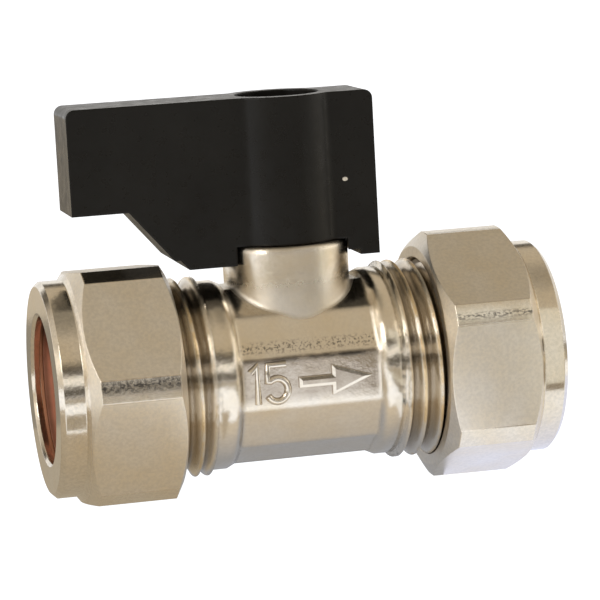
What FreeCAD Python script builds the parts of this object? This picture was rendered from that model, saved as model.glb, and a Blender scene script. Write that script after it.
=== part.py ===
import FreeCAD, Part
import os
import Sketcher
from FreeCAD import Vector

# Lever operated isolating valve for a 15 mm pipe, with a compression joint at each end.
# Millimetres. The origin is the ball's centre, where the pipe axis (X) meets the stem axis (Z).
# The lever lies along -X, which is the open position.

DIMENSIONS = [
    # Pipe, thread and compression joint
    ("tube_diameter", 15.0, "outside of the pipe that fits the sockets"),
    ("socket_clearance", 0.1, "socket to pipe, on the radius"),
    ("thread_diameter", 20.955, "outside of the tail threads"),
    ("thread_clearance", 0.08, "nut to tail thread, on the radius"),
    ("thread_chamfer", 0.9, "lead-in at the end of each tail"),
    ("cone_angle", 30.0, "half angle of the olive's cones and their seats"),
    ("cone_clearance", 0.05, "olive to its seats, on the radius"),
    ("mouth_step", 1.3, "wide end of the cone in each tail above the socket"),
    # Body
    ("body_flats", 18.4, "across the flats of the twelve-sided middle"),
    ("middle_length", 14.7, "length of the twelve-sided middle"),
    ("collar_step", 0.75, "round collars above the flats of the middle"),
    ("collar_foot", 0.05, "inner end of each collar above the middle's corners"),
    ("collar_slope", 0.75, "sloping inner end of each collar"),
    ("collar_length", 2.75, "length of each collar"),
    ("collar_round", 0.4, "edge of each collar beside the thread"),
    ("tail_length", 10.5, "length of each threaded tail"),
    ("neck_diameter", 13.2, "neck round the stem"),
    ("neck_height", 13.6, "top of the neck above the pipe axis"),
    ("neck_edge", 0.3, "chamfer round the top of the neck"),
    ("flare_top", 9.2, "where the foot of the neck starts to widen, above the pipe axis"),
    ("flare_bottom", 6.2, "where that foot is widest"),
    ("flare_width", 0.4, "how far that foot widens"),
    ("shoulder_wall", 2.0, "wall between the left seat and the left pipe stop"),
    ("lug_reach", 7.6, "how far the stop lug reaches along the pipe"),
    ("lug_depth", 7.6, "how far the stop lug reaches behind the stem"),
    ("lug_cut", 1.9, "slanted outer corner of the stop lug"),
    ("lug_drop", 0.5, "top of the stop lug below the top of the neck"),
    ("lug_root", 5.0, "height inside the body where the stop lug starts"),
    ("stop_gap", 0.1, "lever to stop lug at each end of the turn"),
    # Ball and seats
    ("ball_diameter", 14.0, "ball"),
    ("waterway_diameter", 9.0, "bore through the ball and the body"),
    ("chamber_clearance", 0.3, "chamber to ball, on the radius"),
    ("seat_back", 7.4, "ball's centre to the back of each seat"),
    ("seat_length", 3.6, "length of each seat ring"),
    ("seat_clearance", 0.05, "chamber to seat ring, on the radius"),
    ("seat_gap", 0.03, "seat to ball"),
    ("seat_bore_step", 0.1, "seat bore wider than the waterway, on the radius"),
    ("retainer_length", 2.0, "length of the retaining ring"),
    ("retainer_clearance", 0.03, "chamber to retaining ring, on the radius"),
    # Stem
    ("stem_diameter", 8.0, "stem in the neck"),
    ("stem_clearance", 0.05, "neck bore to stem, on the radius"),
    ("flange_diameter", 10.0, "flange below the neck"),
    ("flange_thickness", 1.15, "thickness of that flange"),
    ("flange_clearance", 0.2, "pocket to flange, on the radius"),
    ("flange_lift", 0.1, "flange above the top of the chamber"),
    ("washer_thickness", 0.5, "thrust washer on the flange"),
    ("tang_thickness", 3.0, "tang that turns the ball"),
    ("tang_width", 6.6, "width of the tang across the pipe"),
    ("tang_depth", 2.05, "tang below the flange"),
    ("slot_clearance", 0.08, "ball slot to tang, on each side"),
    ("slot_floor_gap", 0.2, "ball slot below the tang"),
    ("oring_cord", 1.0, "section of the stem seals"),
    ("oring_clearance", 0.03, "seal to neck bore, on the radius"),
    ("groove_side_gap", 0.15, "seal groove wider than the seal, on each side"),
    ("groove_floor_gap", 0.02, "seal groove deeper than the seal"),
    ("square_size", 5.4, "square top of the stem"),
    ("square_clearance", 0.05, "lever to square, on each side"),
    ("square_drop", 0.3, "square below the floor of the lever's recess"),
    # Lever
    ("lever_thickness", 7.7, "blade and skirts across the pipe"),
    ("lever_reach", 22.9, "end of the blade from the stem"),
    ("lever_heel", 9.3, "short end of the lever from the stem"),
    ("lever_top", 29.05, "top of the lever above the pipe axis"),
    ("blade_bottom", 18.15, "underside of the blade above the pipe axis"),
    ("slope_start", 17.0, "where the underside starts to slope, from the stem"),
    ("step_outer", 12.5, "outer end of the small step in the slope"),
    ("step_inner", 11.9, "inner end of that step"),
    ("step_height", 12.8, "height of that step above the pipe axis"),
    ("skirt_outer", 11.0, "outer edge of the long side's skirt"),
    ("skirt_bottom", 11.75, "bottom of the long side's skirt"),
    ("heel_inner", 7.3, "inner edge of the heel's skirt"),
    ("heel_bottom", 11.9, "bottom of the heel's skirt"),
    ("heel_step", 12.5, "step inside the heel's skirt"),
    ("neck_clearance", 0.45, "hollow under the lever to the neck, on the radius"),
    ("lever_gap", 0.1, "lever above the neck"),
    ("hub_diameter", 11.6, "round hub of the lever"),
    ("hub_blend", 1.2, "hollow rounding where the hub leaves the blade"),
    ("recess_diameter", 8.9, "recess in the top of the lever"),
    ("recess_floor", 20.0, "floor of that recess above the pipe axis"),
    ("corner_round", 0.9, "upper corners of the lever, seen from the side"),
    # Lever screw
    ("screw_diameter", 4.0, "screw shank"),
    ("screw_clearance", 0.15, "lever to screw, on the radius"),
    ("screw_depth", 6.4, "screw below its head"),
    ("screw_hole_gap", 0.2, "hole in the stem deeper than the screw"),
    ("screw_fit", 0.03, "stem hole to screw, on the radius"),
    ("head_diameter", 7.2, "screw head"),
    ("head_height", 2.2, "height of the screw head"),
    ("head_crown", 0.8, "rounded part of that height"),
    ("cross_length", 3.8, "cross recess in the head, end to end"),
    ("cross_width", 0.9, "width of each arm of that recess"),
    ("cross_depth", 1.3, "depth of that recess"),
    # Nuts and olives
    ("nut_wall", 1.44, "wall between a nut's thread and its flats"),
    ("nut_corner", 1.25, "turned corners of each nut above its flats"),
    ("nut_length", 13.0, "length of each nut with its collar"),
    ("nut_collar_step", 0.7, "collar at the outer end of each nut below its flats"),
    ("nut_collar_length", 2.6, "length of that collar"),
    ("nut_rim", 0.5, "chamfer round the outer rim"),
    ("nut_outer_chamfer", 1.4, "length of the chamfer behind the collar"),
    ("nut_inner_chamfer", 0.9, "length of the chamfer at the inner end"),
    ("nut_inner_step", 0.3, "inner end face of each nut below its flats"),
    ("nut_bore_clearance", 0.2, "nut to pipe, on the radius"),
    ("nut_land", 0.9, "length of the pipe bore in each nut"),
    ("nut_mouth", 0.3, "chamfer at the mouth of that bore"),
    ("nut_left_turn", 6.0, "angle of the left nut's front corner"),
    ("nut_right_turn", 26.0, "angle of the right nut's front corner"),
    ("nut_right_backoff", 0.6, "how far the right nut is backed off"),
    ("olive_length", 6.2, "length of each olive"),
    ("olive_clearance", 0.05, "olive to pipe, on the radius"),
    ("olive_edge", 0.35, "wall at the ends of each olive"),
    ("olive_wall", 1.4, "wall at the widest part of each olive"),
]

HEX_SIDES = 6
MIDDLE_SIDES = 12
HALF_TURN = 180
FULL_TURN = 360
TOUCH = 1e-4

doc = FreeCAD.newDocument("isolating_valve")
sheet = doc.addObject("Spreadsheet::Sheet", "sizes")
for row, (alias, value, note) in enumerate(DIMENSIONS, start=1):
    sheet.set(f"A{row}", note)
    sheet.set(f"B{row}", str(value))
    sheet.setAlias(f"B{row}", alias)
doc.recompute()


def half(alias):
    return f"(sizes.{alias} / 2)"


# Distances that several pieces share, as expressions on the sheet
CONE_SLOPE = "tan(sizes.cone_angle * 1 deg)"
TUBE_R = half("tube_diameter")
SOCKET_R = f"({TUBE_R} + sizes.socket_clearance)"
THREAD_R = half("thread_diameter")
FLAT_R = half("body_flats")
COLLAR_R = f"({FLAT_R} + sizes.collar_step)"
NECK_R = half("neck_diameter")
MOUTH_R = f"({SOCKET_R} + sizes.mouth_step)"
MIDDLE_END = half("middle_length")
COLLAR_END = f"({MIDDLE_END} + sizes.collar_length)"
TAIL_END = f"({COLLAR_END} + sizes.tail_length)"
BALL_R = half("ball_diameter")
WATERWAY_R = half("waterway_diameter")
CHAMBER_R = f"({BALL_R} + sizes.chamber_clearance)"
LEFT_STOP = "(sizes.seat_back + sizes.shoulder_wall)"
RIGHT_STOP = "(sizes.seat_back + sizes.retainer_length)"
SEAT_BORE_R = f"({WATERWAY_R} + sizes.seat_bore_step)"
SEAT_FRONT = "(sizes.seat_back - sizes.seat_length)"
STEM_R = half("stem_diameter")
NECK_BORE_R = f"({STEM_R} + sizes.stem_clearance)"
FLANGE_R = half("flange_diameter")
FLANGE_BOTTOM = f"({CHAMBER_R} + sizes.flange_lift)"
FLANGE_TOP = f"({FLANGE_BOTTOM} + sizes.flange_thickness)"
NECK_SHOULDER = f"({FLANGE_TOP} + sizes.washer_thickness)"
TANG_BOTTOM = f"({FLANGE_BOTTOM} - sizes.tang_depth)"
ORING_R = f"({NECK_BORE_R} - sizes.oring_clearance - sizes.oring_cord / 2)"
GROOVE_R = f"({ORING_R} - sizes.oring_cord / 2 - sizes.groove_floor_gap)"
GROOVE_HALF = "(sizes.oring_cord / 2 + sizes.groove_side_gap)"
STEM_LAND = f"((sizes.neck_height - {NECK_SHOULDER} - 4 * {GROOVE_HALF}) / 3)"
LOWER_ORING = f"({NECK_SHOULDER} + {STEM_LAND} + {GROOVE_HALF})"
UPPER_ORING = f"(sizes.neck_height - {STEM_LAND} - {GROOVE_HALF})"
SQUARE_TOP = "(sizes.recess_floor - sizes.square_drop)"
HUB_BOTTOM = "(sizes.neck_height + sizes.lever_gap)"
STOP_FACE = f"({half('lever_thickness')} + sizes.stop_gap)"
SCREW_R = half("screw_diameter")
SCREW_END = "(sizes.recess_floor - sizes.screw_depth)"
NUT_BORE_R = f"({TUBE_R} + sizes.nut_bore_clearance)"
NUT_THREAD_R = f"({THREAD_R} + sizes.thread_clearance)"
NUT_FLAT_R = f"({NUT_THREAD_R} + sizes.nut_wall)"
NUT_COLLAR_R = f"({NUT_FLAT_R} - sizes.nut_collar_step)"
NUT_TURNED_R = f"({NUT_FLAT_R} + sizes.nut_corner)"
NUT_INNER_R = f"({NUT_FLAT_R} - sizes.nut_inner_step)"
OLIVE_BORE_R = f"({TUBE_R} + sizes.olive_clearance)"
OLIVE_EDGE_R = f"({OLIVE_BORE_R} + sizes.olive_edge)"
OLIVE_R = f"({OLIVE_BORE_R} + sizes.olive_wall)"
OLIVE_CONE = f"(({OLIVE_R} - {OLIVE_EDGE_R}) / {CONE_SLOPE})"
OLIVE_GRIP = f"(({MOUTH_R} - sizes.cone_clearance - {OLIVE_EDGE_R}) / {CONE_SLOPE})"
OLIVE_OUTER_END = f"({TAIL_END} - {OLIVE_GRIP} + sizes.olive_length)"
NUT_CONE_LEAD = f"(({OLIVE_EDGE_R} + sizes.cone_clearance - {NUT_BORE_R}) / {CONE_SLOPE})"
NUT_CONE_LENGTH = f"(({NUT_THREAD_R} - {NUT_BORE_R}) / {CONE_SLOPE})"
NUT_FACE = f"({OLIVE_OUTER_END} + {NUT_CONE_LEAD} + sizes.nut_land)"


# Modelling helpers

def value_of(expression):
    return float(sheet.evalExpression(expression.replace("sizes.", "")))


def new_body(label):
    body = doc.addObject("PartDesign::Body", label)
    body.Label = label
    return body


def new_sketch(body, name, role):
    sketch = body.newObject("Sketcher::SketchObject", f"{body.Name}_{name}_sketch")
    plane = next(item for item in body.Origin.OriginFeatures if item.Role == role)
    sketch.AttachmentSupport = (plane, [""])
    sketch.MapMode = "FlatFace"
    return sketch


def pin_point(sketch, line, direction, expression):
    """Fix the start of a line at a distance from the sketch's origin."""
    if expression == "0":
        axis = -2 if direction == "DistanceX" else -1
        sketch.addConstraint(Sketcher.Constraint("PointOnObject", line, 1, axis))
        return
    rule = Sketcher.Constraint(direction, -1, 1, line, 1, value_of(expression))
    index = sketch.addConstraint(rule)
    sketch.setExpression(f"Constraints[{index}]", expression)


def draw_outline(sketch, points):
    """Draw a closed outline of straight lines through points given as expressions."""
    first = sketch.GeometryCount
    spots = [Vector(value_of(across), value_of(up), 0) for across, up in points]
    for start, end in zip(spots, spots[1:] + spots[:1]):
        sketch.addGeometry(Part.LineSegment(start, end))
    for index, (across, up) in enumerate(points):
        following = first + (index + 1) % len(points)
        sketch.addConstraint(Sketcher.Constraint("Coincident", first + index, 2, following, 1))
        pin_point(sketch, first + index, "DistanceX", across)
        pin_point(sketch, first + index, "DistanceY", up)


def draw_circle(sketch, radius):
    circle = sketch.addGeometry(Part.Circle(Vector(0, 0, 0), Vector(0, 0, 1), value_of(radius)))
    sketch.addConstraint(Sketcher.Constraint("Coincident", circle, 3, -1, 1))
    index = sketch.addConstraint(Sketcher.Constraint("Radius", circle, value_of(radius)))
    sketch.setExpression(f"Constraints[{index}]", radius)


def corner_radius(sides, flat_r):
    return f"({flat_r} / cos({HALF_TURN / sides} deg))"


def regular_polygon(sides, flat_r, first_corner):
    """Corners of a regular polygon, from the radius to its flats and its first corner's angle."""
    step = FULL_TURN / sides
    radius = corner_radius(sides, flat_r)
    angles = [f"({first_corner} + {step * index}) * 1 deg" for index in range(sides)]
    return [(f"{radius} * cos({angle})", f"{radius} * sin({angle})") for angle in angles]


def rectangle(low_across, high_across, low_up, high_up):
    return [(low_across, low_up), (high_across, low_up), (high_across, high_up), (low_across, high_up)]


def turned(body, name, points, axis, kind="Revolution"):
    """Turn an outline in the XZ plane about the pipe axis (H_Axis) or the stem axis (V_Axis)."""
    sketch = new_sketch(body, name, "XZ_Plane")
    draw_outline(sketch, points)
    feature = body.newObject(f"PartDesign::{kind}", f"{body.Name}_{name}")
    feature.Profile = sketch
    feature.ReferenceAxis = (sketch, [axis])
    feature.Angle = FULL_TURN
    doc.recompute()
    return feature


def extruded(body, name, sketch, length, kind="Pad", symmetric=False, start=None):
    """Pad or pocket a sketch by a length, from its plane or from a height above it."""
    if start is not None:
        sketch.setExpression("AttachmentOffset.Base.z", start)
    feature = body.newObject(f"PartDesign::{kind}", f"{body.Name}_{name}")
    feature.Profile = sketch
    feature.Type = "Length"
    if symmetric:
        feature.SideType = "Symmetric"
    if kind == "Pocket":
        feature.Reversed = True
    feature.setExpression("Length", length)
    doc.recompute()
    return feature


def rounded(body, name, radius, chosen):
    """Round the edges of the body's last feature for which chosen(edge) is true."""
    base = body.Tip
    names = [f"Edge{n}" for n, edge in enumerate(base.Shape.Edges, start=1) if chosen(edge)]
    feature = body.newObject("PartDesign::Fillet", f"{body.Name}_{name}")
    feature.Base = (base, names)
    feature.setExpression("Radius", f"sizes.{radius}")
    doc.recompute()
    return feature


def near(value, expression):
    return abs(value - value_of(expression)) < TOUCH


# Body

def make_body():
    body = new_body("body")
    tail_r = f"({THREAD_R} - sizes.thread_chamfer)"
    collar_edge = f"({COLLAR_END} - sizes.collar_round)"
    collar_edge_r = f"({COLLAR_R} - sizes.collar_round)"
    foot_r = f"({corner_radius(MIDDLE_SIDES, FLAT_R)} + sizes.collar_foot)"
    right_side = [
        (MIDDLE_END, foot_r),
        (f"({MIDDLE_END} + sizes.collar_slope)", COLLAR_R),
        (collar_edge, COLLAR_R),
        (COLLAR_END, collar_edge_r),
        (COLLAR_END, THREAD_R),
        (f"({TAIL_END} - sizes.thread_chamfer)", THREAD_R),
        (TAIL_END, tail_r),
        (TAIL_END, "0"),
    ]
    left_side = [(f"-{along}", radius) for along, radius in reversed(right_side)]
    turned(body, "turned_outside", left_side + right_side, "H_Axis")

    flats = new_sketch(body, "flats", "YZ_Plane")
    draw_circle(flats, "sizes.body_flats")
    draw_outline(flats, regular_polygon(MIDDLE_SIDES, FLAT_R, HALF_TURN / MIDDLE_SIDES))
    extruded(body, "flats", flats, "sizes.middle_length", "Pocket", symmetric=True)

    neck = new_sketch(body, "neck", "XY_Plane")
    draw_circle(neck, NECK_R)
    extruded(body, "neck", neck, "sizes.neck_height")
    foot = [
        ("0", "sizes.flare_bottom"),
        (f"({NECK_R} + sizes.flare_width)", "sizes.flare_bottom"),
        (NECK_R, "sizes.flare_top"),
        ("0", "sizes.flare_top"),
    ]
    turned(body, "neck_foot", foot, "V_Axis")

    lug = new_sketch(body, "stop_lug", "XY_Plane")
    lug_outline = [
        (STOP_FACE, STOP_FACE),
        ("sizes.lug_reach", STOP_FACE),
        ("sizes.lug_reach", "(sizes.lug_depth - sizes.lug_cut)"),
        ("(sizes.lug_reach - sizes.lug_cut)", "sizes.lug_depth"),
        (STOP_FACE, "sizes.lug_depth"),
    ]
    draw_outline(lug, lug_outline)
    lug_height = "(sizes.neck_height - sizes.lug_drop - sizes.lug_root)"
    extruded(body, "stop_lug", lug, lug_height, start="sizes.lug_root")

    mouth_end = f"({TAIL_END} - ({MOUTH_R} - {SOCKET_R}) / {CONE_SLOPE})"
    waterway = [
        (f"-{TAIL_END}", "0"),
        (f"-{TAIL_END}", MOUTH_R),
        (f"-{mouth_end}", SOCKET_R),
        (f"-{LEFT_STOP}", SOCKET_R),
        (f"-{LEFT_STOP}", WATERWAY_R),
        ("-sizes.seat_back", WATERWAY_R),
        ("-sizes.seat_back", CHAMBER_R),
        (RIGHT_STOP, CHAMBER_R),
        (RIGHT_STOP, SOCKET_R),
        (mouth_end, SOCKET_R),
        (TAIL_END, MOUTH_R),
        (TAIL_END, "0"),
    ]
    turned(body, "waterway", waterway, "H_Axis", "Groove")

    pocket_r = f"({FLANGE_R} + sizes.flange_clearance)"
    edge_r = f"({NECK_R} - sizes.neck_edge)"
    outside = f"({NECK_R} + sizes.neck_edge)"
    stem_bore = [
        ("0", "0"),
        (pocket_r, "0"),
        (pocket_r, NECK_SHOULDER),
        (NECK_BORE_R, NECK_SHOULDER),
        (NECK_BORE_R, "sizes.neck_height"),
        ("0", "sizes.neck_height"),
    ]
    turned(body, "stem_bore", stem_bore, "V_Axis", "Groove")
    neck_rim = [
        (edge_r, "sizes.neck_height"),
        (NECK_R, "(sizes.neck_height - sizes.neck_edge)"),
        (outside, "(sizes.neck_height - sizes.neck_edge)"),
        (outside, "sizes.neck_height"),
    ]
    turned(body, "neck_rim", neck_rim, "V_Axis", "Groove")
    return body


# Ball, seats and retaining ring

def make_ball():
    body = new_body("ball")
    sphere = body.newObject("PartDesign::AdditiveSphere", "ball_sphere")
    sphere.setExpression("Radius", BALL_R)
    doc.recompute()
    bore = new_sketch(body, "waterway", "YZ_Plane")
    draw_circle(bore, WATERWAY_R)
    extruded(body, "waterway", bore, "sizes.ball_diameter", "Pocket", symmetric=True)
    slot = new_sketch(body, "slot", "XZ_Plane")
    half_slot = f"({half('tang_thickness')} + sizes.slot_clearance)"
    floor = f"({TANG_BOTTOM} - sizes.slot_floor_gap)"
    draw_outline(slot, rectangle(f"-{half_slot}", half_slot, floor, BALL_R))
    extruded(body, "slot", slot, "sizes.ball_diameter", "Pocket", symmetric=True)
    return body


def make_seat(label, side):
    """Ring with a hollow that follows the ball. side is -1 on the left and 1 on the right."""
    body = new_body(label)
    outer = f"({CHAMBER_R} - sizes.seat_clearance)"
    back = f"{side} * sizes.seat_back"
    front = f"{side} * {SEAT_FRONT}"
    turned(body, "ring", rectangle(front, back, SEAT_BORE_R, outer), "H_Axis")
    hollow = body.newObject("PartDesign::SubtractiveSphere", f"{label}_hollow")
    hollow.setExpression("Radius", f"({BALL_R} + sizes.seat_gap)")
    doc.recompute()
    return body


def make_retainer():
    body = new_body("seat_retainer")
    outer = f"({CHAMBER_R} - sizes.retainer_clearance)"
    turned(body, "ring", rectangle("sizes.seat_back", RIGHT_STOP, SEAT_BORE_R, outer), "H_Axis")
    return body


# Stem, its seals and its washer

def make_stem():
    body = new_body("stem")
    right_side = [
        ("0", FLANGE_BOTTOM),
        (FLANGE_R, FLANGE_BOTTOM),
        (FLANGE_R, FLANGE_TOP),
        (STEM_R, FLANGE_TOP),
    ]
    for height in (LOWER_ORING, UPPER_ORING):
        right_side += [
            (STEM_R, f"({height} - {GROOVE_HALF})"),
            (GROOVE_R, f"({height} - {GROOVE_HALF})"),
            (GROOVE_R, f"({height} + {GROOVE_HALF})"),
            (STEM_R, f"({height} + {GROOVE_HALF})"),
        ]
    right_side += [(STEM_R, "sizes.neck_height"), ("0", "sizes.neck_height")]
    turned(body, "turned", right_side, "V_Axis")

    square = new_sketch(body, "square", "XY_Plane")
    edge = half("square_size")
    draw_outline(square, rectangle(f"-{edge}", edge, f"-{edge}", edge))
    extruded(body, "square", square, f"({SQUARE_TOP} - sizes.neck_height)", start="sizes.neck_height")

    tang = new_sketch(body, "tang", "XY_Plane")
    thick = half("tang_thickness")
    wide = half("tang_width")
    draw_outline(tang, rectangle(f"-{thick}", thick, f"-{wide}", wide))
    extruded(body, "tang", tang, "sizes.tang_depth", start=TANG_BOTTOM)

    hole_r = f"({SCREW_R} + sizes.screw_fit)"
    hole_end = f"({SCREW_END} - sizes.screw_hole_gap)"
    hole = [("0", hole_end), (hole_r, hole_end), (hole_r, SQUARE_TOP), ("0", SQUARE_TOP)]
    turned(body, "screw_hole", hole, "V_Axis", "Groove")
    return body


def make_oring(label, height):
    ring = doc.addObject("Part::Torus", label)
    ring.Label = label
    ring.setExpression("Radius1", ORING_R)
    ring.setExpression("Radius2", half("oring_cord"))
    ring.setExpression("Placement.Base.z", height)
    return ring


def make_thrust_washer():
    body = new_body("stem_thrust_washer")
    section = rectangle(NECK_BORE_R, FLANGE_R, FLANGE_TOP, NECK_SHOULDER)
    turned(body, "ring", section, "V_Axis")
    return body


# Lever and its screw

def make_lever():
    body = new_body("lever")
    outline = [
        ("-sizes.lever_reach", "sizes.lever_top"),
        ("-sizes.lever_reach", "sizes.blade_bottom"),
        ("-sizes.slope_start", "sizes.blade_bottom"),
        ("-sizes.step_outer", "sizes.step_height"),
        ("-sizes.step_inner", "sizes.step_height"),
        ("-sizes.skirt_outer", "sizes.skirt_bottom"),
        ("0", "sizes.skirt_bottom"),
        ("0", "sizes.heel_step"),
        ("sizes.heel_inner", "sizes.heel_step"),
        ("sizes.heel_inner", "sizes.heel_bottom"),
        ("sizes.lever_heel", "sizes.heel_bottom"),
        ("sizes.lever_heel", "sizes.lever_top"),
    ]
    blade = new_sketch(body, "blade", "XZ_Plane")
    draw_outline(blade, outline)
    extruded(body, "blade", blade, "sizes.lever_thickness", symmetric=True)

    def upper_corner(edge):
        low, high = edge.BoundBox.ZMin, edge.BoundBox.ZMax
        across = edge.BoundBox.XLength < TOUCH
        return across and near(low, "sizes.lever_top") and near(high, "sizes.lever_top")

    def hub_side(edge):
        beside_hub = abs(edge.BoundBox.XMin) < value_of(half("hub_diameter"))
        on_blade = near(abs(edge.BoundBox.YMin), half("lever_thickness"))
        upright = edge.BoundBox.XLength < TOUCH and edge.BoundBox.YLength < TOUCH
        return upright and beside_hub and on_blade

    rounded(body, "corners", "corner_round", upper_corner)

    hollow = new_sketch(body, "hollow", "XY_Plane")
    draw_circle(hollow, f"({NECK_R} + sizes.neck_clearance)")
    extruded(body, "hollow", hollow, HUB_BOTTOM, "Pocket")

    hub = new_sketch(body, "hub", "XY_Plane")
    draw_circle(hub, half("hub_diameter"))
    extruded(body, "hub", hub, f"(sizes.lever_top - {HUB_BOTTOM})", start=HUB_BOTTOM)
    rounded(body, "hub_blend", "hub_blend", hub_side)

    recess = new_sketch(body, "recess", "XY_Plane")
    draw_circle(recess, half("recess_diameter"))
    recess_depth = "(sizes.lever_top - sizes.recess_floor)"
    extruded(body, "recess", recess, recess_depth, "Pocket", start="sizes.recess_floor")

    socket = new_sketch(body, "socket", "XY_Plane")
    edge = f"({half('square_size')} + sizes.square_clearance)"
    draw_outline(socket, rectangle(f"-{edge}", edge, f"-{edge}", edge))
    extruded(body, "socket", socket, f"({SQUARE_TOP} - {HUB_BOTTOM})", "Pocket", start=HUB_BOTTOM)

    screw_hole = new_sketch(body, "screw_hole", "XY_Plane")
    draw_circle(screw_hole, f"({SCREW_R} + sizes.screw_clearance)")
    extruded(body, "screw_hole", screw_hole, "sizes.square_drop", "Pocket", start=SQUARE_TOP)
    return body


def make_lever_screw():
    body = new_body("lever_screw")
    head_r = half("head_diameter")
    head_top = "(sizes.recess_floor + sizes.head_height)"
    outline = [
        ("0", SCREW_END),
        (SCREW_R, SCREW_END),
        (SCREW_R, "sizes.recess_floor"),
        (head_r, "sizes.recess_floor"),
        (head_r, f"({head_top} - sizes.head_crown)"),
        (f"({head_r} - sizes.head_crown)", head_top),
        ("0", head_top),
    ]
    turned(body, "turned", outline, "V_Axis")
    cross = new_sketch(body, "cross", "XY_Plane")
    arm = half("cross_length")
    side = half("cross_width")
    corners = [
        (arm, f"-{side}"), (arm, side), (side, side),
        (side, arm), (f"-{side}", arm), (f"-{side}", side),
        (f"-{arm}", side), (f"-{arm}", f"-{side}"), (f"-{side}", f"-{side}"),
        (f"-{side}", f"-{arm}"), (side, f"-{arm}"), (side, f"-{side}"),
    ]
    draw_outline(cross, corners)
    cross_floor = f"({head_top} - sizes.cross_depth)"
    extruded(body, "cross", cross, "sizes.cross_depth", "Pocket", start=cross_floor)
    return body


# Nuts and olives, drawn from their outer end along +X

def place_joint_piece(body, outer_end, side):
    """Put a nut or olive with its outer end at a distance from the stem."""
    body.setExpression("Placement.Base.x", f"{side} * {outer_end}")
    if side > 0:
        body.Placement = FreeCAD.Placement(Vector(0, 0, 0), FreeCAD.Rotation(Vector(0, 0, 1), HALF_TURN))


def make_nut(label, side, front_corner, backoff):
    body = new_body(label)
    cone_end = f"(sizes.nut_land + {NUT_CONE_LENGTH})"
    section = [
        ("0", f"({NUT_BORE_R} + sizes.nut_mouth)"),
        ("0", f"({NUT_COLLAR_R} - sizes.nut_rim)"),
        ("sizes.nut_rim", NUT_COLLAR_R),
        ("sizes.nut_collar_length", NUT_COLLAR_R),
        ("(sizes.nut_collar_length + sizes.nut_outer_chamfer)", NUT_TURNED_R),
        ("(sizes.nut_length - sizes.nut_inner_chamfer)", NUT_TURNED_R),
        ("sizes.nut_length", NUT_INNER_R),
        ("sizes.nut_length", NUT_THREAD_R),
        (cone_end, NUT_THREAD_R),
        ("sizes.nut_land", NUT_BORE_R),
        ("sizes.nut_mouth", NUT_BORE_R),
    ]
    turned(body, "turned", section, "H_Axis")
    flats = new_sketch(body, "flats", "YZ_Plane")
    draw_circle(flats, f"(2 * {NUT_FLAT_R})")
    draw_outline(flats, regular_polygon(HEX_SIDES, NUT_FLAT_R, front_corner))
    extruded(body, "flats", flats, "sizes.nut_length", "Pocket")
    place_joint_piece(body, f"({NUT_FACE} + {backoff})", side)
    return body


def make_olive(label, side, backoff):
    body = new_body(label)
    section = [
        ("0", OLIVE_BORE_R),
        ("0", OLIVE_EDGE_R),
        (OLIVE_CONE, OLIVE_R),
        (f"(sizes.olive_length - {OLIVE_CONE})", OLIVE_R),
        ("sizes.olive_length", OLIVE_EDGE_R),
        ("sizes.olive_length", OLIVE_BORE_R),
    ]
    turned(body, "turned", section, "H_Axis")
    place_joint_piece(body, f"({OLIVE_OUTER_END} + {backoff})", side)
    return body


pieces = [
    make_body(),
    make_ball(),
    make_seat("seat_left", -1),
    make_seat("seat_right", 1),
    make_retainer(),
    make_stem(),
    make_thrust_washer(),
    make_oring("stem_oring_lower", LOWER_ORING),
    make_oring("stem_oring_upper", UPPER_ORING),
    make_lever(),
    make_lever_screw(),
    make_nut("nut_left", -1, f"({HALF_TURN} - sizes.nut_left_turn)", "0"),
    make_nut("nut_right", 1, "sizes.nut_right_turn", "sizes.nut_right_backoff"),
    make_olive("olive_left", -1, "0"),
    make_olive("olive_right", 1, "sizes.nut_right_backoff"),
]
doc.recompute()

failed = [item.Name for item in doc.Objects if "Invalid" in item.State or "Error" in item.State]
if failed:
    raise RuntimeError(f"features that failed: {failed}")
for piece in pieces:
    shape = piece.Shape
    if shape.isNull() or not shape.isValid() or len(shape.Solids) != 1:
        raise RuntimeError(f"{piece.Label} is not one valid solid")

os.makedirs("parts", exist_ok=True)
for piece in pieces:
    piece.Shape.exportStep(f"parts/{piece.Label}.step")
    box = piece.Shape.BoundBox
    print(f"{piece.Label}: volume {piece.Shape.Volume:.1f}, x {box.XMin:.2f} to {box.XMax:.2f}, "
          f"y {box.YMin:.2f} to {box.YMax:.2f}, z {box.ZMin:.2f} to {box.ZMax:.2f}")
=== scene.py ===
import math

import bmesh
import bpy
from mathutils import Matrix, Vector


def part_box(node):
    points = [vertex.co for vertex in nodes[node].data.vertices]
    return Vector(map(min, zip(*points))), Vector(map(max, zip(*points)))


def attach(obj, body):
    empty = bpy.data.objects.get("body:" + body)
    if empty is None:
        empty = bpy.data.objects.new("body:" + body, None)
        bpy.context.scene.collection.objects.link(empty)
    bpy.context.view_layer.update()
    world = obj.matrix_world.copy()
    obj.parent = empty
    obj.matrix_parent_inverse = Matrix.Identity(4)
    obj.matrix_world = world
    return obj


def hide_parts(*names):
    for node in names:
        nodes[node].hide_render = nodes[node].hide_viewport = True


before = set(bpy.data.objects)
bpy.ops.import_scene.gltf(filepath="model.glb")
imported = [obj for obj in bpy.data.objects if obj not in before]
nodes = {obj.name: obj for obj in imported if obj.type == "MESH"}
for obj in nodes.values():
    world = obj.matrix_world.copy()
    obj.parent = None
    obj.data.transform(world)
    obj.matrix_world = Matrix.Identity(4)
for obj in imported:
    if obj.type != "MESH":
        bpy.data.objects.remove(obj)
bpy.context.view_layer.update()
scene = bpy.context.scene

MM = 0.001

# Driving sizes of the body, its threads and its marks

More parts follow.
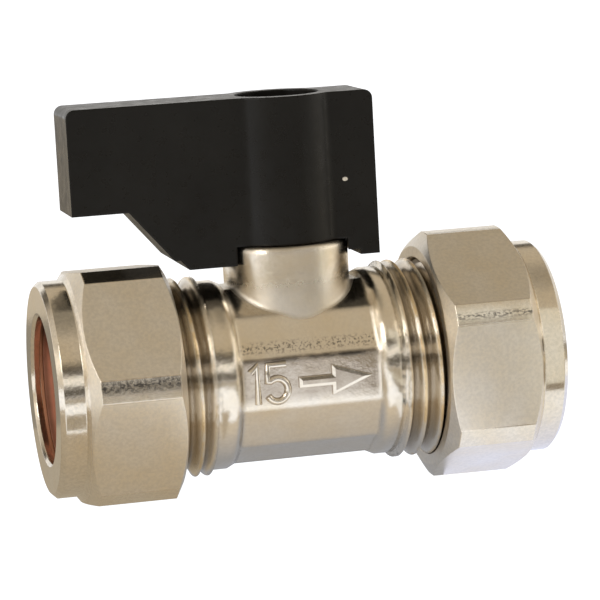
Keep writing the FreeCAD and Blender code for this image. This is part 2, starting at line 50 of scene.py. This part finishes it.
FACE_Y = -9.2 * MM
COLLAR_END = 10.1 * MM
TAIL_END = 20.6 * MM
THREAD_R = 10.4775 * MM
THREAD_DEPTH = 1.05 * MM
THREAD_PITCH = 1.814 * MM
THREAD_CHAMFER = 0.9 * MM
THREAD_FADE = 0.9 * MM
MOUTH_R = 8.9 * MM
MARK_HEIGHT = 0.43 * MM
STROKE_WIDTH = 0.8 * MM


# Camera

def camera_axes(yaw_deg, pitch_deg, roll_deg):
    """Right, up and back of a camera in front of the valve, turned to its left and looking down."""
    yaw, pitch, roll = (math.radians(angle) for angle in (yaw_deg, pitch_deg, roll_deg))
    level = math.cos(pitch)
    back = Vector((-math.sin(yaw) * level, -math.cos(yaw) * level, math.sin(pitch)))
    right = (-back).cross(Vector((0, 0, 1))).normalized()
    up = right.cross(-back)
    turned_right = math.cos(roll) * right - math.sin(roll) * up
    turned_up = math.sin(roll) * right + math.cos(roll) * up
    return turned_right, turned_up, back


def add_camera():
    """Place the camera so that the ball's centre falls on its pixel of the photograph."""
    focal_px, image_px = 3000, 600
    centre_px = (291.2, 367.2)
    distance_mm = 317
    sensor_mm = 36
    right, up, back = camera_axes(yaw_deg=13.0, pitch_deg=9.6, roll_deg=3.15)
    place = back * distance_mm * MM
    across = (image_px / 2 - centre_px[0]) / focal_px
    rise = (centre_px[1] - image_px / 2) / focal_px
    aim = (-back + across * right + rise * up).normalized()
    side = (right - aim * right.dot(aim)).normalized()
    top = side.cross(aim)
    data = bpy.data.cameras.new("camera")
    data.sensor_width = sensor_mm
    data.lens = sensor_mm * focal_px / image_px
    data.clip_start = 0.01
    data.clip_end = 20
    camera = bpy.data.objects.new("camera", data)
    camera.matrix_world = Matrix((
        (side.x, top.x, -aim.x, place.x),
        (side.y, top.y, -aim.y, place.y),
        (side.z, top.z, -aim.z, place.z),
        (0, 0, 0, 1),
    ))
    scene.collection.objects.link(camera)
    scene.camera = camera


# Node trees

# Sockets of a mix of colours, by number because several of them share a name
MIX_FACTOR, MIX_FIRST, MIX_SECOND, MIX_RESULT = 0, 6, 7, 2
NOISE_ROUGHNESS = 0.55


class NodeTree:
    """The nodes of a material or of the world, under construction."""

    def __init__(self, owner):
        owner.use_nodes = True
        self.tree = owner.node_tree
        self.tree.nodes.clear()

    def add(self, kind):
        return self.tree.nodes.new(f"ShaderNode{kind}")

    def wire(self, output, socket):
        self.tree.links.new(output, socket)

    def parts_of(self, vector):
        node = self.add("SeparateXYZ")
        self.wire(vector, node.inputs[0])
        return node.outputs

    def remap(self, value, low, high, to_low, to_high):
        """Stretch a value from one range to another, and hold it at the ends."""
        node = self.add("MapRange")
        limits = {"From Min": low, "From Max": high, "To Min": to_low, "To Max": to_high}
        for name, number in limits.items():
            node.inputs[name].default_value = number
        self.wire(value, node.inputs["Value"])
        return node.outputs["Result"]

    def rise(self, value, start, end, most=1):
        """Nothing up to the start, growing to the most at the end."""
        return self.remap(value, start, end, 0, most)

    def fall(self, value, start, end, most=1):
        """The most up to the start, sinking to nothing at the end."""
        return self.remap(value, start, end, most, 0)

    def calc(self, operation, first, second=0):
        node = self.add("Math")
        node.operation = operation
        for socket, value in zip(node.inputs, (first, second)):
            if isinstance(value, (int, float)):
                socket.default_value = value
            else:
                self.wire(value, socket)
        return node.outputs[0]

    def product(self, first, *others):
        for other in others:
            first = self.calc("MULTIPLY", first, other)
        return first

    def mix(self, factor, first, second):
        """Mix two colours, each a tuple or the output of a node."""
        node = self.add("Mix")
        node.data_type = "RGBA"
        self.wire(factor, node.inputs[MIX_FACTOR])
        for socket, value in ((node.inputs[MIX_FIRST], first), (node.inputs[MIX_SECOND], second)):
            if isinstance(value, tuple):
                socket.default_value = (*value, 1)
            else:
                self.wire(value, socket)
        return node.outputs[MIX_RESULT]


class Shader(NodeTree):
    """A material with one principled surface."""

    def __init__(self, name):
        self.material = bpy.data.materials.new(name)
        super().__init__(self.material)
        self.surface = self.add("BsdfPrincipled")
        self.wire(self.surface.outputs["BSDF"], self.add("OutputMaterial").inputs["Surface"])
        self.place = self.add("TexCoord").outputs["Object"]

    def stretched(self, scales):
        node = self.add("Mapping")
        node.inputs["Scale"].default_value = scales
        self.wire(self.place, node.inputs["Vector"])
        return node.outputs["Vector"]

    def noise(self, scale, detail, roughness=NOISE_ROUGHNESS):
        """Noise with so many cells to the metre, or with a number of its own along each axis."""
        place = self.place
        if isinstance(scale, tuple):
            place = self.stretched(scale)
            scale = 1
        node = self.add("TexNoise")
        node.inputs["Scale"].default_value = scale
        node.inputs["Detail"].default_value = detail
        node.inputs["Roughness"].default_value = roughness
        self.wire(place, node.inputs["Vector"])
        return node.outputs["Fac"]

    def patches(self, scale, detail, low, high, most=1, roughness=NOISE_ROUGHNESS):
        """Noise cut to patches: nothing below its low level and the most above its high one."""
        return self.rise(self.noise(scale, detail, roughness), low, high, most)

    def spread(self, noise, value, below, above):
        """A value that a noise moves by so much below and above itself."""
        noise_low, noise_high = 0.3, 0.7
        return self.remap(noise, noise_low, noise_high, value - below, value + above)

    def distance(self, first, second):
        """Distance from an axis, from the two places across it."""
        square = self.calc("ADD", self.calc("POWER", first, 2), self.calc("POWER", second, 2))
        return self.calc("SQRT", square)

    def bell(self, value, middle, reach):
        """One at the middle, falling to nothing at the reach on either side."""
        away = self.calc("ABSOLUTE", self.calc("SUBTRACT", value, middle))
        return self.fall(away, 0, reach)

    def bump(self, height, depth, strength, rounding):
        """Relief on the surface, with its edges rounded in shading."""
        node = self.add("Bump")
        node.inputs["Distance"].default_value = depth
        node.inputs["Strength"].default_value = strength
        self.wire(height, node.inputs["Height"])
        edge = self.add("Bevel")
        edge.samples = 6
        edge.inputs["Radius"].default_value = rounding
        self.wire(edge.outputs["Normal"], node.inputs["Normal"])
        self.wire(node.outputs["Normal"], self.surface.inputs["Normal"])

    def painted(self, colour, roughness):
        self.wire(colour, self.surface.inputs["Base Color"])
        self.wire(roughness, self.surface.inputs["Roughness"])
        return self.material


def shaded(tint, red, green, blue):
    return tint[0] * red, tint[1] * green, tint[2] * blue


# Plated metal

NICKEL = (0.83, 0.78, 0.70)
WARM_NICKEL = shaded(NICKEL, 0.97, 0.92, 0.82)
DULL_NICKEL = shaded(NICKEL, 0.7, 0.7, 0.7)
# Brown of the painted shade in the thread grooves
THREAD_GROOVE_SHADE = (0.27, 0.205, 0.13)
WORN_BRASS = (0.85, 0.62, 0.30)
# Colour of the painted shade on the front face and the arrow's top
FACE_SHADE = (0.40, 0.345, 0.29)
# Dark colour of the painted shade in the crease above the front face and of the dots over it
CREASE_SHADE_AND_DOTS = (0.06, 0.052, 0.047)
PIT = (0.10, 0.09, 0.085)


def plated(name, rough, mottle, grain, depth, rounding):
    """Nickel over brass: clouded, mottled and uneven in gloss. Gives the shader, colour and roughness."""
    shader = Shader(name)
    shader.surface.inputs["Metallic"].default_value = 1
    clouds = shader.patches(scale=180, detail=5, low=0.35, high=0.7)
    colour = shader.mix(clouds, NICKEL, WARM_NICKEL)
    spots = shader.patches(scale=2800, detail=2, low=0.35, high=0.65, most=mottle)
    colour = shader.mix(spots, colour, DULL_NICKEL)
    roughness = shader.spread(shader.noise(scale=2600, detail=3), rough, below=0.03, above=0.04)
    shader.bump(shader.noise(grain, detail=3), depth, strength=0.5, rounding=rounding)
    return shader, colour, roughness


def thread_shade_and_wear(shader, place, along, colour):
    """Painted shade in brown in the grooves of both tails, and bare brass where their crests are rubbed."""
    groove_r, shade_end_r = 9.5 * MM, 10.25 * MM
    worn_r, crest_r = 10.2 * MM, 10.4 * MM
    tail_start_x, tail_full_x = COLLAR_END + 0.1 * MM, COLLAR_END + 0.5 * MM
    tail = shader.rise(along, tail_start_x, tail_full_x)
    radius = shader.distance(place["Y"], place["Z"])
    # painted shade: brown, deepest at the groove bottoms and fading towards the crests
    shade_share = shader.product(tail, shader.fall(radius, groove_r, shade_end_r, most=0.78))
    colour = shader.mix(shade_share, colour, THREAD_GROOVE_SHADE)
    rubbed = shader.patches(scale=330, detail=3, low=0.45, high=0.55, most=0.6)
    bare = shader.product(tail, shader.rise(radius, worn_r, crest_r), rubbed)
    return shader.mix(bare, colour, WORN_BRASS)


def front_painted_shade(shader, place, middle, colour):
    """Painted shade on the front face and the arrow's top, uneven in patches, which ends above the face's
    lower edge.
    """
    face_reach, arrow_reach = 0.2 * MM, 0.02 * MM
    unshaded_z, shade_z = -2.2 * MM, -1.2 * MM
    face = shader.bell(place["Y"], FACE_Y, face_reach)
    arrow = shader.bell(place["Y"], FACE_Y - MARK_HEIGHT, arrow_reach)
    flat = shader.rise(shader.calc("MAXIMUM", face, arrow), start=0, end=0.5)
    uneven = shader.remap(shader.noise(scale=500, detail=4), low=0.35, high=0.6, to_low=0.75, to_high=1)
    # painted shade over the front face and the arrow's top, clear near the face's lower edge
    shade_share = shader.product(middle, flat, uneven, shader.rise(place["Z"], unshaded_z, shade_z, most=0.8))
    return shader.mix(shade_share, colour, FACE_SHADE)


def front_crease_shade_and_dots(shader, place, middle, colour):
    """Painted shade as dark streaks in the crease above the front face, most of them to the right, and dark
    dots over it.
    """
    crease_z, crease_reach = 2.5 * MM, 0.45 * MM
    dots_z, dots_reach = 3.7 * MM, 0.8 * MM
    few_x, many_x = -6 * MM, 1 * MM
    front_y, plain_y = -8.2 * MM, -8.0 * MM
    streaks = shader.patches(scale=(420, 900, 900), detail=3, low=0.38, high=0.52, roughness=0.6)
    rightward = shader.remap(place["X"], few_x, many_x, to_low=0.4, to_high=1)
    # painted shade along the crease
    crease = shader.product(shader.bell(place["Z"], crease_z, crease_reach), streaks, rightward)
    specks = shader.patches(scale=3600, detail=3, low=0.50, high=0.60, most=0.9, roughness=0.7)
    dots = shader.product(shader.bell(place["Z"], dots_z, dots_reach), specks)
    front = shader.fall(place["Y"], front_y, plain_y, most=0.9)
    # painted shade in the crease and the dark dots, on the front only
    shade_and_dots = shader.product(shader.calc("MAXIMUM", crease, dots), front, middle)
    return shader.mix(shade_and_dots, colour, CREASE_SHADE_AND_DOTS)


def neck_dullness(shader, place):
    """What the neck's skin adds to the roughness: most at its foot, little near the lever."""
    neck_r, beside_r = 7.05 * MM, 7.15 * MM
    below_z, start_z, foot_z, upper_z = 4.8 * MM, 5.0 * MM, 8.5 * MM, 10.5 * MM
    inside = shader.fall(shader.distance(place["X"], place["Y"]), neck_r, beside_r)
    above = shader.rise(place["Z"], below_z, start_z)
    dullness = shader.remap(place["Z"], foot_z, upper_z, to_low=0.2, to_high=0.07)
    return shader.product(inside, above, dullness)


def body_metal(name, rounding, skin):
    """Plating on the forged body: a dull neck, worn threads with painted shade in their grooves, and
    painted shade and dark dots on and above the front face.
    """
    middle_end, collar_start = 7.0 * MM, 7.3 * MM
    shader, colour, roughness = plated(
        name, rough=0.15, mottle=0.15, grain=900, depth=skin, rounding=rounding
    )
    place = shader.parts_of(shader.place)
    along = shader.calc("ABSOLUTE", place["X"])
    colour = thread_shade_and_wear(shader, place, along, colour)
    middle = shader.fall(along, middle_end, collar_start)
    colour = front_painted_shade(shader, place, middle, colour)
    colour = front_crease_shade_and_dots(shader, place, middle, colour)
    return shader.painted(colour, shader.calc("ADD", roughness, neck_dullness(shader, place)))


def nut_metal():
    """Plating on the nuts: satin flats, brighter corners and collars, and pits where a spanner slipped."""
    flat_r, corner_r = 13.18 * MM, 13.2 * MM
    collar_r, hexagon_r = 11.8 * MM, 11.9 * MM
    hexagon_end, collar_start = 23.2 * MM, 23.3 * MM
    pit_bands = ((1.9 * MM, 0.9 * MM), (5.6 * MM, 0.5 * MM))
    corner_gloss, collar_gloss = 0.17, 0.22
    shader, colour, roughness = plated(
        "nut_nickel", rough=0.36, mottle=0.35, grain=2500, depth=0.014 * MM, rounding=0.15 * MM
    )
    place = shader.parts_of(shader.place)
    radius = shader.distance(place["Y"], place["Z"])
    corner = shader.rise(radius, flat_r, corner_r)
    specks = shader.patches(
        scale=(2800, 4600, 4600), detail=3, low=0.46, high=0.56, most=0.9, roughness=0.7
    )
    bands = shader.calc("ADD", *(shader.bell(place["Z"], up, reach) for up, reach in pit_bands))
    colour = shader.mix(shader.product(bands, specks, corner), colour, PIT)
    outer = shader.rise(shader.calc("ABSOLUTE", place["X"]), hexagon_end, collar_start)
    collar = shader.product(outer, shader.fall(radius, collar_r, hexagon_r))
    corner = shader.product(corner, corner_gloss)
    gloss = shader.calc("MAXIMUM", corner, shader.product(collar, collar_gloss))
    return shader.painted(colour, shader.calc("SUBTRACT", roughness, gloss))


# Turned metal

# Brown of the painted shade inside the olives' mouths
OLIVE_SHADE_BROWN = (0.07, 0.035, 0.025)


def olive_painted_shade(shader):
    """Painted shade on an olive, in brown: at its outer end, and more so towards the top of its outer half.
    """
    inner_x, outer_x = 22.4 * MM, 23.6 * MM
    rim_x, end_x = 24.5 * MM, 24.9 * MM
    low_z, high_z = 1.0 * MM, 5.0 * MM
    place = shader.parts_of(shader.place)
    along = shader.calc("ABSOLUTE", place["X"])
    end = shader.rise(along, rim_x, end_x, most=0.5)
    upper = shader.rise(place["Z"], low_z, high_z, most=0.85)
    outer_half = shader.rise(along, inner_x, outer_x)
    return shader.calc("MAXIMUM", end, shader.product(upper, outer_half))


def turned_metal(name, tint, rough, depth=0.004 * MM, painted_shade=None):
    """Metal with fine lines across the pipe's axis, and painted shade in brown where a shade mask is given.
    """
    shader = Shader(name)
    shader.surface.inputs["Metallic"].default_value = 1
    lines = shader.noise(scale=(9000, 300, 300), detail=3, roughness=0.6)
    clouds = shader.patches(scale=260, detail=5, low=0.35, high=0.65)
    colour = shader.mix(clouds, tint, shaded(tint, 0.78, 0.78, 0.78))
    if painted_shade:
        # painted shade: browns the copper where the shade mask is strongest
        colour = shader.mix(painted_shade(shader), colour, OLIVE_SHADE_BROWN)
    shader.bump(lines, depth, strength=0.6, rounding=0.05 * MM)
    return shader.painted(colour, shader.spread(lines, rough, below=0.06, above=0.08))


# Plastic and rubber

NICK_PALE = (0.62, 0.56, 0.46)
LEVER_NICK = (5.95 * MM, 19.9 * MM)


def nicked(shader, colour, nick):
    """A small pale nick in the front, at a place along and up."""
    width, height = 0.36 * MM, 0.26 * MM
    place = shader.parts_of(shader.place)
    near = shader.product(shader.bell(place["X"], nick[0], width), shader.bell(place["Z"], nick[1], height))
    front = shader.calc("LESS_THAN", place["Y"], 0)
    spot = shader.product(shader.rise(near, start=0.1, end=0.3), front)
    return shader.mix(spot, colour, NICK_PALE)


def moulded(name, tint, rough, level, grain, depth, nick=None):
    """Moulded plastic or rubber with a fine grain and faint handling marks, with a nick or without."""
    shader = Shader(name)
    shader.surface.inputs["Specular IOR Level"].default_value = level
    gain, lift = 1.4, 0.001
    pale = tuple(min(1, part * gain + lift) for part in tint)
    clouds = shader.patches(scale=120, detail=6, low=0.4, high=0.75)
    colour = shader.mix(clouds, tint, pale)
    marks = shader.patches(scale=(260, 260, 900), detail=4, low=0.68, high=0.74, most=0.5, roughness=0.7)
    colour = shader.mix(marks, colour, pale)
    if nick:
        colour = nicked(shader, colour, nick)
    shader.bump(shader.noise(grain, detail=3), depth, strength=0.5, rounding=0.3 * MM)
    gloss = shader.noise(scale=800, detail=4)
    return shader.painted(colour, shader.spread(gloss, rough, below=0.06, above=0.08))


# Finish of every node of the frame

BODY_METAL = body_metal("body_nickel", rounding=0.8 * MM, skin=0.045 * MM)
MARK_METAL = body_metal("mark_nickel", rounding=0.08 * MM, skin=0.012 * MM)
NUT_METAL = nut_metal()
LEVER_PLASTIC = moulded(
    "lever_plastic", (0.0065, 0.006, 0.005), rough=0.3, level=0.24, grain=2200, depth=0.004 * MM,
    nick=LEVER_NICK,
)
CHROME = turned_metal("ball_chrome", (0.86, 0.86, 0.88), rough=0.09, depth=0.001 * MM)
COPPER = turned_metal("olive_copper", (1.0, 0.52, 0.36), rough=0.62, painted_shade=olive_painted_shade)
BRASS = turned_metal("bare_brass", (0.80, 0.60, 0.28), rough=0.26)
ZINC = turned_metal("screw_zinc", (0.62, 0.62, 0.60), rough=0.30)
SEAT_PLASTIC = moulded(
    "seat_plastic", (0.78, 0.78, 0.75), rough=0.45, level=0.5, grain=1500, depth=0.005 * MM
)
RUBBER = moulded("seal_rubber", (0.012, 0.012, 0.012), rough=0.55, level=0.3, grain=1800, depth=0.01 * MM)
FINISHES = (
    (BODY_METAL, ("body",)),
    (NUT_METAL, ("nut_left", "nut_right")),
    (LEVER_PLASTIC, ("lever",)),
    (CHROME, ("ball",)),
    (COPPER, ("olive_left", "olive_right")),
    (BRASS, ("stem", "seat_retainer")),
    (ZINC, ("lever_screw",)),
    (SEAT_PLASTIC, ("seat_left", "seat_right", "stem_thrust_washer")),
    (RUBBER, ("stem_oring_lower", "stem_oring_upper")),
)


def dress(obj, material):
    obj.data.materials.clear()
    obj.data.materials.append(material)


# Body with its threads

CLOSE = 0.01 * MM
WELD = 0.001 * MM


def ease(low, high, value):
    """From nothing at the low value to one at the high value, with soft ends."""
    part = min(1, max(0, (value - low) / (high - low)))
    return part * part * (3 - 2 * part)


def thread_radius(along, angle, side):
    """Radius of a tail at a distance from the stem: a right-handed thread that fades at the collar."""
    groove_share, groove_power = 0.92, 1.6
    turn = (side * along / THREAD_PITCH - angle / (2 * math.pi)) % 1
    crest = min(1, abs(2 * turn - 1) / groove_share)
    groove = 1 - crest ** groove_power
    depth = THREAD_DEPTH * groove * ease(COLLAR_END, COLLAR_END + THREAD_FADE, along)
    chamfer = THREAD_R - max(0, along - (TAIL_END - THREAD_CHAMFER))
    return min(THREAD_R - depth, chamfer)


def add_ring(mesh, along, angles, radii):
    return [
        mesh.verts.new((along, radius * math.cos(angle), radius * math.sin(angle)))
        for angle, radius in zip(angles, radii)
    ]


def add_tail(mesh, side):
    """Cover one tail with a fine surface that follows the thread, from the collar to the mouth."""
    columns, rows = 168, 130
    angles = [2 * math.pi * column / columns for column in range(columns)]
    rings = []
    for row in range(rows + 1):
        along = COLLAR_END + (TAIL_END - COLLAR_END) * row / rows
        radii = [thread_radius(along, angle, side) for angle in angles]
        rings.append(add_ring(mesh, side * along, angles, radii))
    rings.append(add_ring(mesh, side * TAIL_END, angles, [MOUTH_R] * columns))
    for inner, outer in zip(rings, rings[1:]):
        for column in range(columns):
            following = (column + 1) % columns
            face = [inner[column], outer[column], outer[following], inner[following]]
            mesh.faces.new(face if side < 0 else face[::-1])


def threaded_mesh():
    """The body's own mesh with its plain tails cut away and threaded ones sewn on."""
    mesh = bmesh.new()
    mesh.from_mesh(nodes["body"].data)
    bmesh.ops.remove_doubles(mesh, verts=mesh.verts, dist=WELD)
    plain = [
        face for face in mesh.faces
        if abs(face.calc_center_median().x) > COLLAR_END + CLOSE
        and all(math.hypot(vert.co.y, vert.co.z) > MOUTH_R - CLOSE for vert in face.verts)
    ]
    bmesh.ops.delete(mesh, geom=plain, context="FACES")
    for side in (-1, 1):
        add_tail(mesh, side)
        for along in (COLLAR_END, TAIL_END):
            rims = [
                rim for rim in mesh.edges
                if rim.is_boundary and all(abs(vert.co.x - side * along) < CLOSE for vert in rim.verts)
            ]
            bmesh.ops.bridge_loops(mesh, edges=rims)
    bmesh.ops.remove_doubles(mesh, verts=mesh.verts, dist=WELD)
    bmesh.ops.recalc_face_normals(mesh, faces=mesh.faces)
    data = bpy.data.meshes.new("threaded_body")
    mesh.to_mesh(data)
    mesh.free()
    return data


def make_threaded_body():
    """Show the threaded body in place of the plain one, shaded smooth except on its twelve flats."""
    sharp_deg = 20
    data = threaded_mesh()
    data.shade_smooth()
    data.set_sharp_from_angle(angle=math.radians(sharp_deg))
    for face in data.polygons:
        off_face = abs(face.center.dot(face.normal) + FACE_Y)
        face.use_smooth = abs(face.normal.x) > CLOSE or off_face > CLOSE
    body = bpy.data.objects.new("threaded_body", data)
    scene.collection.objects.link(body)
    dress(body, BODY_METAL)
    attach(body, "valve_body")
    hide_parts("body")


# Raised marks on the front face

def raised_stroke(name, points):
    """A rounded raised line on the front face, through points given in millimetres along and up."""
    curve = bpy.data.curves.new(name, "CURVE")
    curve.dimensions = "3D"
    curve.bevel_depth = STROKE_WIDTH / 2
    curve.bevel_resolution = 4
    curve.use_fill_caps = True
    line = curve.splines.new("POLY")
    line.points.add(len(points) - 1)
    for spot, (along, up) in zip(line.points, points):
        spot.co = (along * MM, 0, up * MM, 1)
    guide = bpy.data.objects.new(name + "_guide", curve)
    data = bpy.data.meshes.new_from_object(guide)
    bpy.data.objects.remove(guide)
    flatten = MARK_HEIGHT / (STROKE_WIDTH / 2)
    for vert in data.vertices:
        vert.co.y = FACE_Y + vert.co.y * flatten
    data.shade_smooth()
    return data


def arc(centre, radii, start_deg, end_deg):
    """Points along part of an ellipse."""
    steps = 20
    turns = [math.radians(start_deg + (end_deg - start_deg) * step / steps) for step in range(steps + 1)]
    return [
        (centre[0] + radii[0] * math.cos(turn), centre[1] + radii[1] * math.sin(turn))
        for turn in turns
    ]


def arrow_mesh():
    """A plain arrow that stands on the front face, with a sloped edge round its flat top."""
    outline = [(-1.4, -0.6), (2.1, -0.6), (2.1, -1.65), (6.4, 0.1), (2.1, 1.55), (2.1, 0.5), (-1.4, 0.5)]
    sunk = 0.4 * MM
    slope_width, slope_height = 0.36 * MM, 0.13 * MM
    mesh = bmesh.new()
    low = [mesh.verts.new((along * MM, FACE_Y + sunk, up * MM)) for along, up in outline]
    raised = bmesh.ops.extrude_face_region(mesh, geom=[mesh.faces.new(low)])["geom"]
    for item in raised:
        if isinstance(item, bmesh.types.BMVert):
            item.co.y = FACE_Y - (MARK_HEIGHT - slope_height)
    bmesh.ops.recalc_face_normals(mesh, faces=mesh.faces)
    top = [item for item in raised if isinstance(item, bmesh.types.BMFace)]
    bmesh.ops.inset_region(mesh, faces=top, thickness=slope_width, depth=slope_height, use_even_offset=True)
    data = bpy.data.meshes.new("flow_arrow")
    mesh.to_mesh(data)
    mesh.free()
    return data


def add_mark(name, data):
    data.name = name
    mark = bpy.data.objects.new(name, data)
    scene.collection.objects.link(mark)
    dress(mark, MARK_METAL)
    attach(mark, "valve_body")


def make_marks():
    one = [(-6.45, 1.35), (-5.75, 2.1), (-5.75, -1.95)]
    five = [(-2.7, 2.0), (-4.6, 2.0), (-4.75, 0.35)]
    five += arc(centre=(-3.7, -0.62), radii=(1.12, 1.2), start_deg=128, end_deg=-150)
    add_mark("size_mark_one", raised_stroke("one", one))
    add_mark("size_mark_five", raised_stroke("five", five))
    add_mark("flow_arrow", arrow_mesh())


# Stage: floor, cards for reflections, lights and room

PAPER_GLOW = (0.94, 0.96, 1)
PAPER_DARK = (0.2, 0.2, 0.2)
PAPER_PALE = (0.22, 0.22, 0.22)
TABLE = (0.42, 0.36, 0.27)
OCHRE = (0.50, 0.42, 0.31)
SAND = (0.68, 0.59, 0.47)
SHADE = (0.36, 0.37, 0.40)
BRIGHT = (1.02, 1.02, 1.02)
SKY = (0.84, 0.89, 1.1)
CREAM = (0.82, 0.78, 0.68)
WARM = (0.88, 0.77, 0.56)
DUN = (0.30, 0.25, 0.185)
TAN = (0.56, 0.48, 0.365)
DUSK = (0.26, 0.23, 0.18)
GLOOM = (0.12, 0.105, 0.085)
CEILING = (0.27, 0.235, 0.18)
WINDOW = (1.1, 1.06, 1.0)
PALE = (0.95, 0.93, 0.9)
LEFT_LIGHT = (1.4, 1.25, 1.05)
WHITE = (1, 1, 1)
LAMP = (1, 0.92, 0.78)

FLOOR_GAP = 0.02 * MM

# Edges of the floor, and edges that cards share, in millimetres along and across
FLOOR_REACH = 4000
UNDER_LEFT, UNDER_RIGHT = -12, 15.5
UNDER_FRONT, UNDER_BACK = -22, 45
TABLE_FRONT, TABLE_RIGHT = -105, 105
DUSK_BACK = 130
CARD_SIDE, CARD_DEPTH = 500, 700
DUN_RIGHT, CREAM_RIGHT = 33, 42
STANDING_Y = -25


def on_floor(low_along, high_along, front, back):
    """Corners on the floor, from edges in millimetres. It leans, as the nuts don't reach equally low."""
    left_foot_x, right_foot_x = -18.5 * MM, 19.5 * MM
    left = Vector((left_foot_x, 0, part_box("nut_left")[0].z))
    right = Vector((right_foot_x, 0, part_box("nut_right")[0].z))
    slope = (right - left).normalized()
    middle = left.lerp(right, 0.5)
    corners = [(low_along, front), (high_along, front), (high_along, back), (low_along, back)]
    return [
        middle + slope * (along * MM) + Vector((0, across * MM, -FLOOR_GAP))
        for along, across in corners
    ]


def standing(low_along, high_along, low_up, high_up):
    """Corners of an upright card in front of the valve, from edges in millimetres."""
    corners = [(low_along, low_up), (high_along, low_up), (high_along, high_up), (low_along, high_up)]
    return [Vector((along * MM, STANDING_Y * MM, up * MM)) for along, up in corners]


def add_plane(name, corners):
    data = bpy.data.meshes.new(name)
    data.from_pydata(corners, [], [(0, 1, 2, 3)])
    plane = bpy.data.objects.new(name, data)
    scene.collection.objects.link(plane)
    return plane


def add_floor():
    floor = add_plane("floor", on_floor(-FLOOR_REACH, FLOOR_REACH, -FLOOR_REACH, FLOOR_REACH))
    shader = Shader("floor_paper")
    surface = shader.surface
    surface.inputs["Roughness"].default_value = 0.85
    surface.inputs["Emission Color"].default_value = (*PAPER_GLOW, 1)
    surface.inputs["Emission Strength"].default_value = 1.1
    grey = shader.mix(shader.noise(scale=40, detail=3), PAPER_DARK, PAPER_PALE)
    shader.wire(grey, surface.inputs["Base Color"])
    dress(floor, shader.material)


def add_card(name, corners, near, far):
    """A glowing card that only reflections see, in place of what the valve mirrors in the photograph."""
    near_y, far_y = -14 * MM, -4 * MM
    card = add_plane(name, corners)
    card.location.z = 2 * FLOOR_GAP
    for ray in ("camera", "diffuse", "transmission", "volume_scatter", "shadow"):
        setattr(card, f"visible_{ray}", False)
    shader = Shader(name + "_paper")
    surface = shader.surface
    surface.inputs["Base Color"].default_value = (0, 0, 0, 1)
    surface.inputs["Roughness"].default_value = 1
    depth = shader.rise(shader.parts_of(shader.place)["Y"], near_y, far_y)
    shader.wire(shader.mix(depth, near, far), surface.inputs["Emission Color"])
    surface.inputs["Emission Strength"].default_value = 1
    dress(card, shader.material)


def add_cards():
    under = (UNDER_FRONT, UNDER_BACK)
    front = (TABLE_FRONT, UNDER_FRONT)
    wide = (-CARD_SIDE, CARD_SIDE)
    cards = (
        ("left_under_card", on_floor(-80, UNDER_LEFT, -23, UNDER_BACK), OCHRE, TABLE),
        ("under_card", on_floor(UNDER_LEFT, UNDER_RIGHT, -17, UNDER_BACK), SAND, SHADE),
        ("right_under_card", on_floor(UNDER_RIGHT, 70, *under), BRIGHT, SKY),
        ("back_card", on_floor(*wide, UNDER_BACK, DUSK_BACK), DUSK, DUSK),
        ("far_card", on_floor(*wide, DUSK_BACK, CARD_DEPTH), TAN, TAN),
        ("right_card", on_floor(24, DUN_RIGHT, *front), DUN, DUN),
        ("cream_card", on_floor(DUN_RIGHT, CREAM_RIGHT, *front), CREAM, CREAM),
        ("tan_card", on_floor(CREAM_RIGHT, TABLE_RIGHT, *front), TABLE, TABLE),
        ("warm_card", on_floor(TABLE_RIGHT, CARD_SIDE, *front), WARM, WARM),
        ("left_collar_card", standing(-27, -20.5, -13, -5.5), TABLE, TABLE),
        ("right_collar_card", standing(27.5, 40, -12, 22), CREAM, CREAM),
        ("corner_card", standing(16.5, 26.5, 14.5, 21.5), CREAM, CREAM),
        ("right_side_card", on_floor(TABLE_RIGHT, CARD_SIDE, *under), TABLE, TABLE),
        ("front_card", on_floor(*wide, -CARD_DEPTH, TABLE_FRONT), TABLE, TABLE),
    )
    for name, corners, near, far in cards:
        add_card(name, corners, near, far)


def add_softbox(name, place, side, power, colour):
    """A square light that faces the valve."""
    aim = Vector((0, 0, 5 * MM))
    data = bpy.data.lights.new(name, "AREA")
    data.shape = "RECTANGLE"
    data.size = side
    data.size_y = side
    data.energy = power
    data.color = colour
    light = bpy.data.objects.new(name, data)
    light.location = place
    light.rotation_euler = (aim - Vector(place)).to_track_quat("-Z", "Y").to_euler()
    scene.collection.objects.link(light)


def add_world():
    """A dim warm room with a band of window light, a pale horizon behind the valve and a lit left side."""
    stops = (
        (0.16, GLOOM), (0.21, WINDOW), (0.33, WINDOW), (0.39, GLOOM),
        (0.50, GLOOM), (0.60, TAN), (0.87, TAN),
    )
    front, behind = -0.2, 0.5
    horizon, above = 0.1, 0.4
    far_left, left = -0.85, -0.55
    world = bpy.data.worlds.new("room")
    scene.world = world
    tree = NodeTree(world)
    background = tree.add("Background")
    tree.wire(background.outputs["Background"], tree.add("OutputWorld").inputs["Surface"])
    parts = tree.parts_of(tree.add("TexCoord").outputs["Generated"])
    height = tree.add("ValToRGB")
    tree.wire(parts["Z"], height.inputs["Fac"])
    ramp = height.color_ramp
    ramp.elements[0].color = (*GLOOM, 1)
    ramp.elements[1].color = (*CEILING, 1)
    for position, colour in stops:
        ramp.elements.new(position).color = (*colour, 1)
    glow = tree.product(tree.rise(parts["Y"], front, behind), tree.fall(parts["Z"], horizon, above))
    colour = tree.mix(glow, height.outputs["Color"], PALE)
    lit = tree.fall(parts["X"], far_left, left, most=0.45)
    tree.wire(tree.mix(lit, colour, LEFT_LIGHT), background.inputs["Color"])


add_camera()
add_floor()
add_cards()
add_world()
add_softbox("left_window", place=(-0.55, -0.30, 0.35), side=0.24, power=1.0, colour=WHITE)
add_softbox("right_lamp", place=(0.6, -0.1, 0.2), side=0.5, power=0.5, colour=LAMP)
scene.view_settings.view_transform = "Standard"
for material, names in FINISHES:
    for name in names:
        dress(nodes[name], material)
make_threaded_body()
make_marks()
